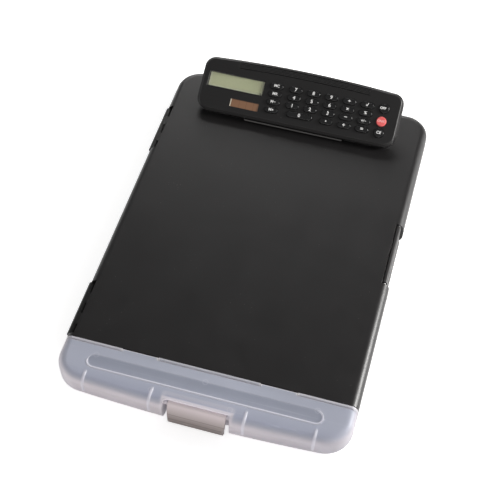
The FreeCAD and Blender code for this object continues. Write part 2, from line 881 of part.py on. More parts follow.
def key_places():
    """Each key's name with the U, V, length and width of its cap."""
    columns = [first_column + i * column_pitch for i in range(5)]
    names = [["key_7", "key_8", "key_9", "key_divide", "key_root"],
             ["key_4", "key_5", "key_6", "key_multiply", "key_percent"],
             ["key_1", "key_2", "key_3", "key_minus", "key_sign"],
             [None, None, "key_point", "key_plus", "key_equals"]]
    places = []
    for row, line_names in enumerate(names):
        for u, name in zip(columns, line_names):
            if name:
                places.append((name, u, -row * row_pitch, key_length, key_width))
    wide_u = (columns[0] + columns[1]) / 2
    places.append(("key_0", wide_u, -3 * row_pitch, wide_key_length, key_width))
    for row, name in enumerate(["key_memory_clear", "key_memory_recall", "key_memory_minus",
                                "key_memory_plus"]):
        places.append((name, memory_column, -row * row_pitch, memory_key_length, key_width))
    for name, v in (("key_off", 0), ("key_on", -red_key_row), ("key_clear_entry", -3 * row_pitch)):
        places.append((name, round_column, v, round_key_diameter, round_key_diameter))
    return places


def key(u, v, length, width):
    flange_top = -face_thickness - key_flange_clearance
    cap = stadium(length, width, flange_top - key_flange / 2, key_proud, u, v)
    cap = cap.makeFillet(key_crown, level_edges(cap, key_proud))
    flange = stadium(length + 2 * key_flange_margin, width + 2 * key_flange_margin,
                     flange_top - key_flange, flange_top, u, v)
    return tilted(joined([cap, flange]))


def opening(left, right, front, rear, w0, w1, grow):
    return block(left - grow, right + grow, front - grow, rear + grow, w0, w1)


def grip_band():
    """The sunk band behind the display, with ridges that follow the bowed rear edge."""
    bow = (rear_bow_half_chord ** 2 + rear_bow ** 2) / (2 * rear_bow)
    centre = at(0, rear_reach - bow, -grip_sink)
    depth = grip_sink + cut_overrun

    def ring(front, rear):
        outer = Part.makeCylinder(bow - rear_reach + rear, depth, centre)
        return outer.cut(Part.makeCylinder(bow - rear_reach + front, depth, centre))

    window = block(-grip_half_length, grip_half_length, 0, 2 * rear_reach, -2 * grip_sink, cut_overrun)
    band = ring(grip_front, grip_rear).common(window)
    pitch = (grip_rear - grip_front) / (ridge_count + 1)
    lower = block(-grip_half_length, grip_half_length, 0, 2 * rear_reach, -2 * grip_sink, 0)
    ridges = []
    for index in range(1, ridge_count + 1):
        middle = grip_front + index * pitch
        ridges.append(ring(middle - ridge_width / 2, middle + ridge_width / 2).common(lower))
    return band.cut(ridges)


def boss_places():
    return [(u, v) for u in (-boss_x, boss_x) for v in (boss_rear_v, boss_front_v)]


def calculator_front_shell():
    outer = calculator_slab(0, -shell_parting_depth, 0)
    outer = outer.makeChamfer(face_bevel, level_edges(outer, 0))
    outer = outer.makeFillet(face_edge, level_edges(outer, 0))
    backing = outer.common(block(-grip_half_length - shell_wall, grip_half_length + shell_wall,
                                 grip_front - shell_wall, rear_reach, -face_thickness - grip_sink, 0))
    shell = outer.cut(calculator_slab(shell_wall + face_bevel / 2, -shell_parting_depth, -face_thickness))
    bosses = [rod(boss_radius, at(u, v, -shell_parting_depth), Z, shell_parting_depth - face_thickness)
              for u, v in boss_places()]
    cutters = [opening(display_left, display_right, display_front, display_rear,
                       -2 * face_thickness, cut_overrun, seat_clearance),
               opening(solar_left, solar_right, solar_front, solar_rear,
                       -2 * face_thickness, cut_overrun, seat_clearance),
               grip_band()]
    for _, u, v, length, width in key_places():
        cutters.append(stadium(length + 2 * key_gap, width + 2 * key_gap, -2 * face_thickness,
                               cut_overrun, u, v))
    for u, v in boss_places():
        cutters.append(rod(screw_radius, at(u, v, -shell_parting_depth - cut_overrun), Z,
                           cut_overrun + screw_grip))
    return tilted(without(joined([shell, backing] + bosses), cutters))


def screw_head_seat(u, v):
    return rod(screw_head_radius + seat_clearance, at(u, v, -body_depth - cut_overrun), Z,
               cut_overrun + screw_head_height)


def calculator_rear_shell():
    parting = -shell_parting_depth
    outer = calculator_slab(0, -body_depth, parting)
    outer = outer.makeFillet(underside_edge, level_edges(outer, -body_depth))
    inner = calculator_slab(shell_wall, -body_depth + rear_floor, parting + cut_overrun)
    inner = inner.cut(front_wedge(front_floor))
    shell = outer.cut(front_wedge(0)).cut(inner)
    bosses = [rod(boss_radius, at(u, v, -body_depth + rear_floor / 2), Z,
                  body_depth - shell_parting_depth - rear_floor / 2) for u, v in boss_places()]
    floor = -body_depth + rear_floor
    bosses += [rod(post_radius, at(u, v, floor - rear_floor / 2), Z, circuit_bottom - floor + rear_floor / 2)
               for u in (post_left, post_right) for v in (post_rear_v, post_front_v)]
    bosses += [rod(boss_radius, at(u, jaw_screw_v, floor - rear_floor / 2), Z,
                   jaw_screw_length - rear_floor / 2) for u in (-jaw_screw_x, jaw_screw_x)]
    cutters = []
    for u, v in boss_places():
        cutters.append(rod(screw_radius + seat_clearance, at(u, v, -box_height), Z, box_height))
        cutters.append(screw_head_seat(u, v))
    for u in (-jaw_screw_x, jaw_screw_x):
        cutters.append(rod(screw_radius, at(u, jaw_screw_v, -body_depth - cut_overrun), Z,
                           cut_overrun + jaw_screw_length))
    cutters.append(rod(cover_radius + cover_gap, at(cell_x, cell_v, -body_depth - cut_overrun), Z,
                       2 * cut_overrun))
    body = without(joined([shell] + bosses), cutters)
    seat = rod(cover_radius + shell_wall, at(cell_x, cell_v, floor), Z, cover_lip)
    seat = seat.cut(rod(cover_radius - cover_lip, at(cell_x, cell_v, floor - cut_overrun), Z, box_height))
    return tilted(joined([body, seat]))


# Stack of depths inside the calculator
circuit_top = -membrane_depth - membrane_thickness
circuit_bottom = circuit_top - circuit_thickness
panel_top = -face_thickness
panel_bottom = panel_top - panel_thickness
cover_top = -body_depth + rear_floor
jaw_screw_length = rear_floor + screw_grip / 2
cell_bottom = cover_top + cover_lip + contact_thickness


def display_window():
    return tilted(opening(display_left, display_right, display_front, display_rear,
                          panel_top, panel_top + window_thickness, 0))


def display_panel():
    return tilted(opening(display_left, display_right, display_front, display_rear,
                          panel_bottom, panel_top, panel_margin))


def display_connector():
    v = display_front + zebra_width
    u = board_left + zebra_width
    return tilted(block(u, u + zebra_length, v - zebra_width / 2, v + zebra_width / 2,
                        circuit_top, panel_bottom))


def solar_cell():
    cell = opening(solar_left, solar_right, solar_front, solar_rear, -face_thickness, -solar_depth, 0)
    backing = opening(solar_left, solar_right, solar_front, solar_rear,
                      -face_thickness - solar_thickness, -face_thickness, solar_margin)
    return tilted(joined([cell, backing]))


def keypad_membrane():
    sheet = block(membrane_left, membrane_right, membrane_front, membrane_rear,
                  circuit_top, -membrane_depth)
    domes = [Part.makeCone(dome_radius, dome_radius / 2, dome_height, at(u, v, -membrane_depth), Z)
             for _, u, v, _, _ in key_places()]
    return tilted(joined([sheet] + domes))


def circuit_board():
    sheet = block(board_left, board_right, board_front, board_rear, circuit_bottom, circuit_top)
    return tilted(sheet)


def button_cell():
    rim = cell_thickness / 8
    can = rod(cell_radius, at(cell_x, cell_v, cell_bottom), Z, cell_thickness)
    can = can.makeFillet(rim, level_edges(can, cell_bottom))
    return tilted(can)


def battery_contacts():
    """A strip above and a strip below the cell, both running to the circuit board."""
    half = contact_width / 2
    reach = board_left + contact_width
    low = cell_bottom - contact_thickness
    high = cell_bottom + cell_thickness
    lower = block(cell_x, reach, cell_v - 2 * half, cell_v, low, cell_bottom)
    lower_leg = block(reach - contact_thickness, reach, cell_v - 2 * half, cell_v, low, circuit_bottom)
    upper = block(cell_x, board_left - half, cell_v, cell_v + 2 * half, high, high + contact_thickness)
    shapes = [joined([lower, lower_leg]), joined([upper, upper_contact_leg(high)])]
    return tilted(Part.makeCompound(shapes))


def upper_contact_leg(high):
    half = contact_width / 2
    end = board_left - half
    low = min(high, circuit_bottom - contact_thickness)
    drop = block(end - contact_thickness, end, cell_v, cell_v + 2 * half, low, high + contact_thickness)
    foot = block(end - contact_thickness, board_left + half, cell_v, cell_v + 2 * half,
                 low, low + contact_thickness)
    return joined([drop, foot])


def battery_cover():
    disc = rod(cover_radius, at(cell_x, cell_v, -body_depth), Z, rear_floor)
    slot = block(cell_x - cover_radius / 2, cell_x + cover_radius / 2, cell_v - cover_lip / 2,
                 cell_v + cover_lip / 2, -body_depth - cover_lip_depth, -body_depth + cover_lip_depth)
    return tilted(disc.cut(slot))


def calculator_screws():
    shapes = []
    for u, v in boss_places():
        low = -body_depth
        head = rod(screw_head_radius, at(u, v, low), Z, screw_head_height)
        shank = rod(screw_radius, at(u, v, low + screw_head_height), Z,
                    body_depth - shell_parting_depth - screw_head_height + screw_grip)
        slot = block(u - screw_head_radius, u + screw_head_radius, v - screw_radius / 4, v + screw_radius / 4,
                     low - cut_overrun, low + screw_head_height / 2)
        shapes.append(joined([head, shank]).cut(slot))
    return tilted(Part.makeCompound(shapes))


# The paper clip
axle_y = seam_y + axle_from_seam


def clip_bracket():
    y0 = seam_y + bracket_front
    y1 = seam_y + bracket_rear
    plate = block(-bracket_half_width, bracket_half_width, y0, y1, box_height, box_height + bracket_plate)
    shapes = [plate]
    for x0 in (-bracket_half_width, bracket_half_width - bracket_plate):
        web = block(x0, x0 + bracket_plate, axle_y - bracket_ear_radius, axle_y + bracket_ear_radius,
                    box_height, axle_height)
        ear = rod(bracket_ear_radius, at(x0, axle_y, axle_height), X, bracket_plate)
        shapes += [web, ear]
    holes = [rod(axle_radius + seat_clearance, at(-box_width, axle_y, axle_height), X, 2 * box_width)]
    for x, y in board_rivet_places():
        holes.append(rod(rivet_radius + seat_clearance, at(x, y, 0), Z, box_height * 2))
    return without(joined(shapes), holes)


def clip_rivets():
    low = box_height - board_thickness
    high = box_height + bracket_plate
    shapes = []
    for x, y in board_rivet_places():
        shank = rod(rivet_radius, at(x, y, low), Z, high - low)
        below_head = rod(rivet_head_radius, at(x, y, low - rivet_head_height), Z, rivet_head_height)
        dome = Part.makeCone(rivet_head_radius, rivet_radius, rivet_head_height, at(x, y, high), Z)
        shapes.append(joined([shank, below_head, dome]))
    return Part.makeCompound(shapes)


def clip_axle():
    pin = rod(axle_radius, at(-axle_half_length, axle_y, axle_height), X, 2 * axle_half_length)
    ends = [e for e in pin.Edges if e.BoundBox.XLength < seat_clearance]
    return pin.makeChamfer(axle_radius / 4, ends)


def spring_turn_gap():
    """The least gap between neighbouring turns, from the distance of their centre lines."""
    turn = Part.makeHelix(spring_pitch, spring_pitch / 2, spring_radius)
    neighbour = turn.copy()
    neighbour.translate(Z * spring_pitch)
    return turn.distToShape(neighbour)[0] - spring_wire


def clip_spring():
    """A torsion spring round the axle, with one leg on the bracket and one under the calculator."""
    print("least gap between the turns of the spring:", round(spring_turn_gap(), 3), "mm")
    length = spring_turns * spring_pitch
    helix = Part.makeHelix(spring_pitch, length, spring_radius)
    start = at(spring_radius, 0, 0)
    profile = Part.Wire(Part.makeCircle(spring_wire / 2, start, Y))
    coil = Part.Wire(helix).makePipeShell([profile], True, True)
    first_leg = rod(spring_wire / 2, start, -Y, spring_leg)
    last_leg = rod(spring_wire / 2, at(-spring_radius, 0, length), -Y, spring_leg)
    body = joined([coil, first_leg, last_leg])
    turned = FreeCAD.Rotation(X, 180).multiply(FreeCAD.Rotation(Y, 90))
    body.Placement = FreeCAD.Placement(at(-length / 2, axle_y, axle_height), turned)
    return body


def jaw_lip_y():
    return seam_y + jaw_front_from_seam


def clip_jaw():
    """Pressed steel: a level lip at the front, a plate under the calculator and two ears on the axle."""
    under = tilted(block(-jaw_half_width, jaw_half_width, -slope_reach, jaw_rear_v,
                         -body_depth - jaw_plate, -body_depth))
    level_top = jaw_height + jaw_plate
    reach = under.optimalBoundingBox(True, False).YMin + jaw_plate
    lip = block(-jaw_half_width, jaw_half_width, jaw_lip_y(), reach, jaw_height, level_top)
    spring_half = spring_turns * spring_pitch / 2 + spring_wire + spring_window
    window = tilted(block(-spring_half, spring_half, jaw_window_front, jaw_window_rear, -box_height, 0))
    shapes = [lip, under.cut(window)]
    drop = tilted(block(-bracket_half_width, bracket_half_width, -front_reach, 0,
                        -body_depth - 2 * jaw_ear_radius - axle_height, -body_depth - jaw_plate / 2))
    for side in (-1, 1):
        x0 = side * jaw_ear_offset - jaw_plate / 2
        ear = rod(jaw_ear_radius, at(x0, axle_y, axle_height), X, jaw_plate)
        web = block(x0, x0 + jaw_plate, axle_y - jaw_ear_radius, axle_y + jaw_ear_radius,
                    axle_height, 2 * box_height).common(drop)
        shapes += [ear, web]
    holes = [rod(axle_radius + pin_clearance, at(-box_width, axle_y, axle_height), X, 2 * box_width)]
    for u in (-jaw_screw_x, jaw_screw_x):
        holes.append(tilted(rod(screw_radius + seat_clearance, at(u, jaw_screw_v, -box_height), Z,
                                box_height)))
    return without(joined(shapes), holes)


def jaw_pad():
    x = jaw_half_width - pad_inset
    y0 = jaw_lip_y() + pad_inset
    return block(-x, x, y0, y0 + pad_length, box_height + rest_gap, jaw_height)


def jaw_screws():
    shapes = []
    low = -body_depth - jaw_plate
    for u in (-jaw_screw_x, jaw_screw_x):
        shank = rod(screw_radius, at(u, jaw_screw_v, low), Z, jaw_plate + jaw_screw_length)
        head = rod(screw_head_radius, at(u, jaw_screw_v, low - screw_head_height), Z, screw_head_height)
        shapes.append(joined([head, shank]))
    return tilted(Part.makeCompound(shapes))


nodes = {
    "base_tray": base_tray,
    "board_lid": board_lid,
    "main_hinge_pins": main_hinge_pins,
    "side_latch": side_latch,
    "side_latch_pin": side_latch_pin,
    "pen_tray": pen_tray,
    "pen_tray_rivets": pen_tray_rivets,
    "pen_lid": pen_lid,
    "pen_hinge_pins": pen_hinge_pins,
    "pen_latch": pen_latch,
    "pen_latch_pin": pen_latch_pin,
    "clip_bracket": clip_bracket,
    "clip_rivets": clip_rivets,
    "clip_axle": clip_axle,
    "clip_spring": clip_spring,
    "clip_jaw": clip_jaw,
    "jaw_pad": jaw_pad,
    "jaw_screws": jaw_screws,
    "calculator_front_shell": calculator_front_shell,
    "calculator_rear_shell": calculator_rear_shell,
    "calculator_screws": calculator_screws,
    "display_window": display_window,
    "display_panel": display_panel,
    "display_connector": display_connector,
    "solar_cell": solar_cell,
    "keypad_membrane": keypad_membrane,
    "circuit_board": circuit_board,
    "button_cell": button_cell,
    "battery_contacts": battery_contacts,
    "battery_cover": battery_cover,
}

os.makedirs("parts", exist_ok=True)
for node, make in nodes.items():
    save(make(), node)
for name, u, v, length, width in key_places():
    save(key(u, v, length, width), name)
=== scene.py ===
import math

import bpy
from mathutils import Euler, Matrix, Vector


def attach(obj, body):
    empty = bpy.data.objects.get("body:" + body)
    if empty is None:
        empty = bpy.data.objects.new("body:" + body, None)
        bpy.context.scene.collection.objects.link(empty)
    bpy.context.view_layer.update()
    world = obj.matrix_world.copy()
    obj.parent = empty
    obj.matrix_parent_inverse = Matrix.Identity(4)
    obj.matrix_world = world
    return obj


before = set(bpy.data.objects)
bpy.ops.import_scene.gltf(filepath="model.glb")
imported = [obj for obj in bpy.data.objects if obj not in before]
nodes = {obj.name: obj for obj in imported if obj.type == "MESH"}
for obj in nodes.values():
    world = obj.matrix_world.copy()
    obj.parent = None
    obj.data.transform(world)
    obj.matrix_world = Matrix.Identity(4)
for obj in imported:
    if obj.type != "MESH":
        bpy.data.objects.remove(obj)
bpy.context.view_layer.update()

# Where the case stands and how it is seen: on a white sweep, from above and a little to the right, with
# a soft lamp behind it on the left, a low one on its right and a warm one in front. The ceiling is dark
# where the writing board would mirror it.
scene = bpy.context.scene
camera_data = bpy.data.cameras.new("camera")
camera_data.lens = 79.754
camera_data.sensor_width = 36
camera = bpy.data.objects.new("camera", camera_data)
camera.location = (0.140192, -0.549580, 0.783384)
camera.rotation_euler = Euler([math.radians(a) for a in (36.0802, -0.6277, 15.6837)])
scene.collection.objects.link(camera)
scene.camera = camera
scene.view_settings.view_transform = "Standard"

for lamp_name, place, size, power, tint in (
        ("lamp_behind", (-0.40, 1.70, 0.86), (1.1, 0.6), 13, (1, 0.99, 0.98)),
        ("lamp_right", (1.00, 0.36, 0.47), (0.28, 0.34), 21.5, (1, 0.985, 0.97)),
        ("lamp_front", (0.25, -1.30, 0.30), (1.2, 0.3), 5, (1, 0.94, 0.92))):
    lamp_data = bpy.data.lights.new(lamp_name, "AREA")
    lamp_data.shape = "RECTANGLE"
    lamp_data.size, lamp_data.size_y = size
    lamp_data.energy = power
    lamp_data.color = tint
    lamp = bpy.data.objects.new(lamp_name, lamp_data)
    lamp.location = place
    lamp.rotation_euler = (-Vector(place)).to_track_quat("-Z", "Y").to_euler()
    scene.collection.objects.link(lamp)


def put(tree, kind, values=None, **settings):
    """Adds one shader node; a socket given as a value is joined to the input instead."""
    node = tree.nodes.new(kind)
    for key, value in settings.items():
        setattr(node, key, value)
    for key, value in (values or {}).items():
        if isinstance(value, bpy.types.NodeSocket):
            tree.links.new(value, node.inputs[key])
        else:
            node.inputs[key].default_value = value
    return node


def doing(tree, operation, first, second=0.0):
    return put(tree, "ShaderNodeMath", {0: first, 1: second}, operation=operation).outputs[0]


def ranged(tree, value, low, high, start=0.3, end=0.7):
    """Low up to the start, high from the end on, and a straight ramp between them."""
    return put(tree, "ShaderNodeMapRange", {"Value": value, "From Min": start, "From Max": end,
                                            "To Min": low, "To Max": high}).outputs[0]


def new_finish(name, **constants):
    """A material with its constant values set on the shader's own sockets."""
    material = bpy.data.materials.new(name)
    material.use_nodes = True
    shader = material.node_tree.nodes["Principled BSDF"]
    for key, value in constants.items():
        shader.inputs[key.replace("_", " ")].default_value = value
    return material, material.node_tree, shader.inputs


world = bpy.data.worlds.new("studio")
world.use_nodes = True
scene.world = world
sky = world.node_tree
background = sky.nodes["Background"].inputs
background["Color"].default_value = (1, 1, 1, 1)
dark_middle = Vector((-0.156, 0.567, 0.809)).normalized()
direction = put(sky, "ShaderNodeTexCoord").outputs["Generated"]
toward = put(sky, "ShaderNodeVectorMath", {0: direction, 1: dark_middle}, operation="DOT_PRODUCT")
ceiling = ranged(sky, toward.outputs["Value"], 0.55, 0.12, 0.45, 0.95)
by_camera = put(sky, "ShaderNodeLightPath").outputs["Is Camera Ray"]
sky_level = put(sky, "ShaderNodeMix", {"Factor": by_camera, "A": ceiling, "B": 1.0}, data_type="FLOAT")
sky.links.new(sky_level.outputs["Result"], background["Strength"])

# The sweep glows a little where the camera, a mirror or a clear piece looks at it, and lights nothing by
# that. Seen from below it is clear, so that the underside of the case can be looked at.
floor_glow = 0.62
floor_mesh = bpy.data.meshes.new("floor")
floor_mesh.from_pydata([(-4, -4, 0), (4, -4, 0), (4, 4, 0), (-4, 4, 0)], [], [(0, 1, 2, 3)])
floor = bpy.data.objects.new("floor", floor_mesh)
floor.location.z = -0.0002
scene.collection.objects.link(floor)
floor_paint, tree, shader = new_finish("floor_paint", Base_Color=(0.8, 0.8, 0.8, 1), Roughness=0.9,
                                       Specular_IOR_Level=0.1, Emission_Color=(1, 1, 1, 1))
path = put(tree, "ShaderNodeLightPath").outputs
seen = doing(tree, "MAXIMUM", path["Is Camera Ray"], path["Is Glossy Ray"])
seen = doing(tree, "MAXIMUM", seen, path["Is Transmission Ray"])
tree.links.new(doing(tree, "MULTIPLY", seen, floor_glow), shader["Emission Strength"])
below = put(tree, "ShaderNodeNewGeometry").outputs["Backfacing"]
clear = put(tree, "ShaderNodeBsdfTransparent").outputs[0]
sweep = put(tree, "ShaderNodeMixShader", {0: below, 1: tree.nodes["Principled BSDF"].outputs[0], 2: clear})
tree.links.new(sweep.outputs[0], tree.nodes["Material Output"].inputs["Surface"])
floor_mesh.materials.append(floor_paint)

# The document compartment: a shallow tray and the writing board that closes it, both moulded in black
# ABS from tools with a fine matt grain. The board is rolled over its edges and stands on the tray's rim.
def new_group(name, inputs, outputs):
    group = bpy.data.node_groups.new(name, "ShaderNodeTree")
    for label, kind, value in inputs:
        socket = group.interface.new_socket(label, in_out="INPUT", socket_type="NodeSocket" + kind)
        socket.default_value = value
    for label, kind in outputs:
        group.interface.new_socket(label, in_out="OUTPUT", socket_type="NodeSocket" + kind)
    return group, group.nodes.new("NodeGroupInput").outputs, group.nodes.new("NodeGroupOutput").inputs


def use(tree, group, values=None):
    return put(tree, "ShaderNodeGroup", values, node_tree=group).outputs


def place_in(tree):
    """The place on the part, in metres."""
    return put(tree, "ShaderNodeTexCoord").outputs["Object"]


def split(tree, vector):
    return put(tree, "ShaderNodeSeparateXYZ", {0: vector}).outputs


def how_far(tree, across, along):
    """The distance from the origin of a plane."""
    span = put(tree, "ShaderNodeCombineXYZ", {0: across, 1: along}).outputs[0]
    return put(tree, "ShaderNodeVectorMath", {0: span}, operation="LENGTH").outputs["Value"]


def most_of(tree, *masks):
    joined = masks[0]
    for mask in masks[1:]:
        joined = doing(tree, "MAXIMUM", joined, mask)
    return joined


def wear(material, *names):
    for name in names:
        for slot in nodes[name].material_slots:
            slot.material = material


# Moulded grain: rounded pits with a finer grain over them, and slow patches where the tool was more or
# less sharp.
moulded_grain, given, result = new_group(
    "moulded_grain",
    [("Pits per metre", "Float", 1500), ("Depth", "Float", 1)],
    [("Height", "Float"), ("Patches", "Float")])
place = place_in(moulded_grain)
pits = put(moulded_grain, "ShaderNodeTexVoronoi", {"Vector": place, "Scale": given["Pits per metre"]},
           feature="SMOOTH_F1").outputs["Distance"]
fine = put(moulded_grain, "ShaderNodeTexNoise",
           {"Vector": place, "Scale": given["Pits per metre"], "Detail": 3, "Roughness": 0.6})
both = doing(moulded_grain, "ADD", pits, fine.outputs["Fac"])
deep = doing(moulded_grain, "MULTIPLY", both, given["Depth"])
patches = put(moulded_grain, "ShaderNodeTexNoise", {"Vector": place, "Scale": 14, "Detail": 4})
moulded_grain.links.new(deep, result["Height"])
moulded_grain.links.new(patches.outputs["Fac"], result["Patches"])

# Handling: hair-fine scratches in three directions, finger-sized smudges, and dust that lies in patches
# on what faces up.
handling, given, result = new_group(
    "handling",
    [("Scratches", "Float", 1), ("Dust", "Float", 1)],
    [("Scratch", "Float"), ("Smudge", "Float"), ("Speck", "Float")])
place = place_in(handling)
lines = []
for turn, length, offset in ((0.3, 14, 0.0), (1.35, 22, 3.1), (2.4, 9, 7.7)):
    drawn = put(handling, "ShaderNodeMapping",
                {"Vector": place, "Rotation": (0, 0, turn), "Scale": (length, 900, 300),
                 "Location": (offset, offset, 0)}).outputs[0]
    streak = put(handling, "ShaderNodeTexNoise", {"Vector": drawn, "Scale": 1, "Detail": 1}).outputs["Fac"]
    lines.append(ranged(handling, streak, 0, 1, 0.70, 0.76))
scratch = doing(handling, "MULTIPLY", most_of(handling, *lines), given["Scratches"])
smudge = put(handling, "ShaderNodeTexNoise", {"Vector": place, "Scale": 38, "Detail": 5, "Roughness": 0.65,
                                              "Distortion": 0.6}).outputs["Fac"]
specks = put(handling, "ShaderNodeTexVoronoi", {"Vector": place, "Scale": 260}).outputs["Distance"]
upward = split(handling, put(handling, "ShaderNodeNewGeometry").outputs["Normal"])["Z"]
speck = ranged(handling, specks, 0, 1, 0.09, 0.05)
for share in (ranged(handling, upward, 0, 1, 0.3, 0.9), ranged(handling, smudge, 0, 1, 0.5, 0.62),
              given["Dust"]):
    speck = doing(handling, "MULTIPLY", speck, share)
handling.links.new(scratch, result["Scratch"])
handling.links.new(smudge, result["Smudge"])
handling.links.new(speck, result["Speck"])

# Edges: a small radius on every corner, and a mask where the corner is rubbed.
soft_edges, given, result = new_group(
    "soft_edges",
    [("Radius", "Float", 0.0003)],
    [("Normal", "Vector"), ("Rubbed", "Float")])
rounded = put(soft_edges, "ShaderNodeBevel", {"Radius": given["Radius"]}, samples=6).outputs[0]
true_normal = put(soft_edges, "ShaderNodeNewGeometry").outputs["Normal"]
agree = put(soft_edges, "ShaderNodeVectorMath", {0: rounded, 1: true_normal}, operation="DOT_PRODUCT")
edge = ranged(soft_edges, agree.outputs["Value"], 0, 1, 0.985, 0.85)
uneven = put(soft_edges, "ShaderNodeTexNoise", {"Vector": place_in(soft_edges), "Scale": 220, "Detail": 4})
rubbed = doing(soft_edges, "MULTIPLY", edge, ranged(soft_edges, uneven.outputs["Fac"], 0, 1, 0.42, 0.62))
soft_edges.links.new(rounded, result["Normal"])
soft_edges.links.new(rubbed, result["Rubbed"])


def tone(tree, base, *layers):
    """Mixes colours over a base colour, each by its mask and at its own strength."""
    colour = base
    for mask, strength, shade in layers:
        if strength != 1:
            mask = doing(tree, "MULTIPLY", mask, strength)
        mixed = put(tree, "ShaderNodeMix", data_type="RGBA")
        tree.links.new(mask, mixed.inputs["Factor"])
        for socket, value in ((mixed.inputs[6], colour), (mixed.inputs[7], shade)):
            if isinstance(value, bpy.types.NodeSocket):
                tree.links.new(value, socket)
            else:
                socket.default_value = (*value, 1)
        colour = mixed.outputs[2]
    return colour


def relief(tree, height, distance, normal):
    return put(tree, "ShaderNodeBump", {"Height": height, "Distance": distance, "Strength": 1.0,
                                        "Normal": normal}).outputs[0]


def black_moulding(name, colour, pale, roughness, pits, depth, scratches, gleam=0.4, more=None):
    """A matt moulding, rubber or coat; more(tree) gives further layers of tone."""
    material, tree, shader = new_finish(name, IOR=1.49, Specular_IOR_Level=gleam)
    grain = use(tree, moulded_grain, {"Pits per metre": pits})
    marks = use(tree, handling, {"Scratches": scratches})
    edges = use(tree, soft_edges)
    tree.links.new(tone(tree, colour, (grain["Patches"], 0.2, pale), (marks["Scratch"], 0.25, pale),
                        (marks["Speck"], 0.5, (0.16, 0.155, 0.15)), (edges["Rubbed"], 0.35, pale),
                        *(more(tree) if more else ())), shader["Base Color"])
    tree.links.new(ranged(tree, marks["Smudge"], *roughness), shader["Roughness"])
    tree.links.new(relief(tree, grain["Height"], depth, edges["Normal"]), shader["Normal"])
    return material


def ring_mark(tree, across, along, centre, radius, width):
    """A mask for the ring that an ejector pin leaves, from the two places along the surface."""
    far = how_far(tree, doing(tree, "SUBTRACT", across, centre[0]),
                  doing(tree, "SUBTRACT", along, centre[1]))
    off = doing(tree, "ABSOLUTE", doing(tree, "SUBTRACT", far, radius))
    return ranged(tree, off, 1, 0, width / 3, width)


def ejector_marks(tree):
    """Rings left by the ejector pins, on the insides of the tray and of the board only."""
    place = split(tree, place_in(tree))
    under_board = 0.0240
    inside = ranged(tree, place["Z"], 1, 0, under_board, under_board + 0.0005)
    layers = []
    for x in (-0.078, 0.078):
        for y in (-0.098, 0.015, 0.128):
            ring = ring_mark(tree, place["X"], place["Y"], (x, y), 0.0035, 0.0006)
            layers.append((doing(tree, "MULTIPLY", ring, inside), 0.6, (0.03, 0.029, 0.029)))
    return layers


board_black = black_moulding("board_black", (0.0050, 0.0045, 0.0047), (0.009, 0.0082, 0.0085),
                             (0.38, 0.44), 1700, 0.00002, 1, 0.5, ejector_marks)
wear(board_black, "board_lid", "base_tray")

# The pins of the hinges, latches and rivets: drawn steel wire cut to length, and turned rivets. They are
# driven in, so only their ends show, with fine drawing lines along them and a little dulling.
def bare_steel(name, colour, dull, stretch, roughness):
    material, tree, shader = new_finish(name, Metallic=1.0)
    drawn = put(tree, "ShaderNodeMapping", {"Vector": place_in(tree), "Scale": stretch}).outputs[0]
    lines = put(tree, "ShaderNodeTexNoise", {"Vector": drawn, "Scale": 1, "Detail": 4}).outputs["Fac"]
    marks = use(tree, handling, {"Scratches": 0.8, "Dust": 0.4})
    edges = use(tree, soft_edges, {"Radius": 0.00015})
    tree.links.new(tone(tree, colour, (marks["Smudge"], 0.3, dull), (lines, 0.2, dull),
                        (edges["Rubbed"], 0.5, (0.8, 0.8, 0.8))), shader["Base Color"])
    tree.links.new(ranged(tree, lines, *roughness), shader["Roughness"])
    tree.links.new(relief(tree, lines, 0.00002, edges["Normal"]), shader["Normal"])
    return material


for direction, stretch, shown in (
        ("along", (3000, 60, 3000), ("main_hinge_pins", "side_latch_pin", "pen_tray_rivets")),
        ("across", (60, 3000, 3000), ("pen_hinge_pins", "pen_latch_pin", "clip_axle", "clip_spring"))):
    wear(bare_steel("drawn_wire_" + direction, (0.55, 0.55, 0.56), (0.33, 0.32, 0.31), stretch,
                    (0.22, 0.38)), *shown)

# The pen compartment: a tray riveted to the black tray and a hinged lid, both of frosted polypropylene.
# It is milky rather than clear and bluish where it lies flat. Both carry painted light, pale on their walls
# and where the plastic is thick, and painted shade towards the right. The lid's groove, bead, ribs and rims
# are drawn clearer by their place, and this is kept off the tray: painted shade in the groove and along the
# front, painted highlights on the bead, ribs, notch rim and seam.
def lit_through(tree):
    """Lets some of the light through, so that the inside isn't black."""
    surface = tree.nodes["Principled BSDF"].outputs[0]
    glow = put(tree, "ShaderNodeBsdfTranslucent", {"Color": (0.64, 0.655, 0.71, 1)}).outputs[0]
    body = put(tree, "ShaderNodeMixShader", {0: 0.30, 1: surface, 2: glow}).outputs[0]
    sheer = put(tree, "ShaderNodeBsdfTransparent", {"Color": (0.78, 0.78, 0.82, 1)}).outputs[0]
    share = doing(tree, "MULTIPLY", put(tree, "ShaderNodeLightPath").outputs["Is Shadow Ray"], 0.55)
    whole = put(tree, "ShaderNodeMixShader", {0: share, 1: body, 2: sheer}).outputs[0]
    tree.links.new(whole, tree.nodes["Material Output"].inputs["Surface"])


def beyond(tree, value, edge, soft, upward=True):
    """1 where the value lies past the edge, with a soft start."""
    low, high = (edge - soft, edge + soft) if upward else (edge + soft, edge - soft)
    return ranged(tree, value, 0, 1, low, high)


def within(tree, value, low, high, soft):
    """1 where the value lies between two limits."""
    return doing(tree, "MULTIPLY", beyond(tree, value, low, soft), beyond(tree, value, high, soft, False))


